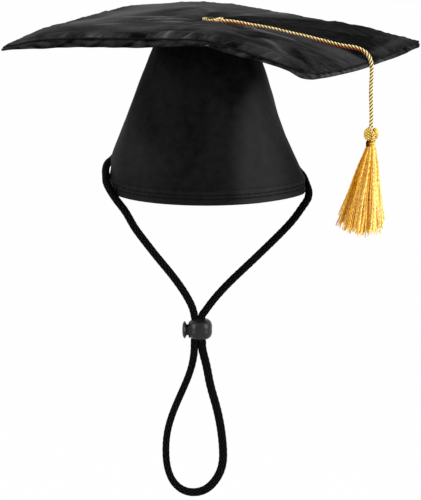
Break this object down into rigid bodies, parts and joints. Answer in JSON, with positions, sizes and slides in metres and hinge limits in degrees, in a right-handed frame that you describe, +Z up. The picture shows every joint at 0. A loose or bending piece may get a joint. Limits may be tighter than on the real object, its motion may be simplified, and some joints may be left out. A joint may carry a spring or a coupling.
{
  "type": "pet graduation cap",
  "caption": "Soft square mortarboard on a cone-shaped cloth skull cap, with a covered button, a twisted cord tassel over one side and a braided chin cord drawn through a spring cord lock.",
  "frame": {"origin": "centre of the skull cap's rim opening, in the plane of the rim's edge", "axes": "+Z up through the crown, -Y towards the front, +X to the side the tassel hangs on"},
  "size_m": [0.2422, 0.2422, 0.2897],
  "materials": {
    "board_satin": "woven satin, soft sheen",
    "foam": "open-cell foam sheet",
    "thread": "sewing thread",
    "skull_satin": "woven satin, soft sheen",
    "lining": "plain woven lining",
    "crown_board": "stiff interlining board",
    "button_metal": "thin pressed sheet",
    "gold_cord": "twisted rayon cord, shiny",
    "gold_yarn": "rayon yarn, shiny",
    "black_cord": "round braided cord",
    "eyelet_metal": "black enamel on brass",
    "lock_plastic": "moulded, semi-matt",
    "spring_steel": "drawn wire"
  },
  "bodies": {
    "cap": {"board_top_panel": "board_satin", "board_foam": "foam", "board_bottom_panel": "board_satin", "board_seam": "thread", "skull_panel": "skull_satin", "skull_lining": "lining", "skull_hem": "skull_satin", "hem_stitch_lower": "thread", "hem_stitch_upper": "thread", "skull_back_seam": "skull_satin", "crown_disc": "crown_board", "crown_seam": "skull_satin", "button_cover": "skull_satin", "button_shell": "button_metal", "button_back": "button_metal", "button_thread": "thread", "button_thread_knot": "thread", "tassel_loop": "gold_cord", "tassel_loop_knot": "gold_cord", "tassel_cord_top": "gold_cord", "chin_cord_left": "black_cord", "chin_cord_right": "black_cord", "chin_cord_loop": "black_cord", "cord_knot_left": "black_cord", "cord_knot_right": "black_cord", "cord_eyelet_left": "eyelet_metal", "cord_eyelet_right": "eyelet_metal"},
    "cord_lock": {"lock_barrel": "lock_plastic", "cord_nip": "black_cord", "lock_spring": "spring_steel"},
    "lock_button": {"lock_plunger": "lock_plastic"},
    "tassel_cord": {"tassel_cord_drop": "gold_cord"},
    "tassel": {"tassel_head": "gold_yarn", "tassel_neck_band": "gold_yarn", "tassel_skirt": "gold_yarn"}
  },
  "joints": [
    {"name": "cord_lock_slide", "type": "slide", "parent": "cap", "child": "cord_lock", "axis": [0, 0, 1], "range_m": [-0.075, 0.045], "deforming": ["chin_cord_left", "chin_cord_right", "chin_cord_loop"]},
    {"name": "lock_button_press", "type": "slide", "parent": "cord_lock", "child": "lock_button", "axis": [1, 0, 0], "range_m": [0, 0.0013], "stiffness_N_per_m": 900, "springref_m": -0.002, "deforming": ["lock_spring"]},
    {"name": "tassel_swing", "type": "hinge", "parent": "cap", "child": "tassel_cord", "pos_m": [0.09533, -0.02897, 0.07675], "axis": [-0.3875, -0.9219, 0], "range_deg": [-6, 70]},
    {"name": "tassel_side_swing", "type": "hinge", "parent": "tassel_cord", "child": "tassel", "pos_m": [0.09533, -0.02897, 0.04245], "axis": [0.9219, -0.3875, 0], "range_deg": [-35, 35]}
  ]
}
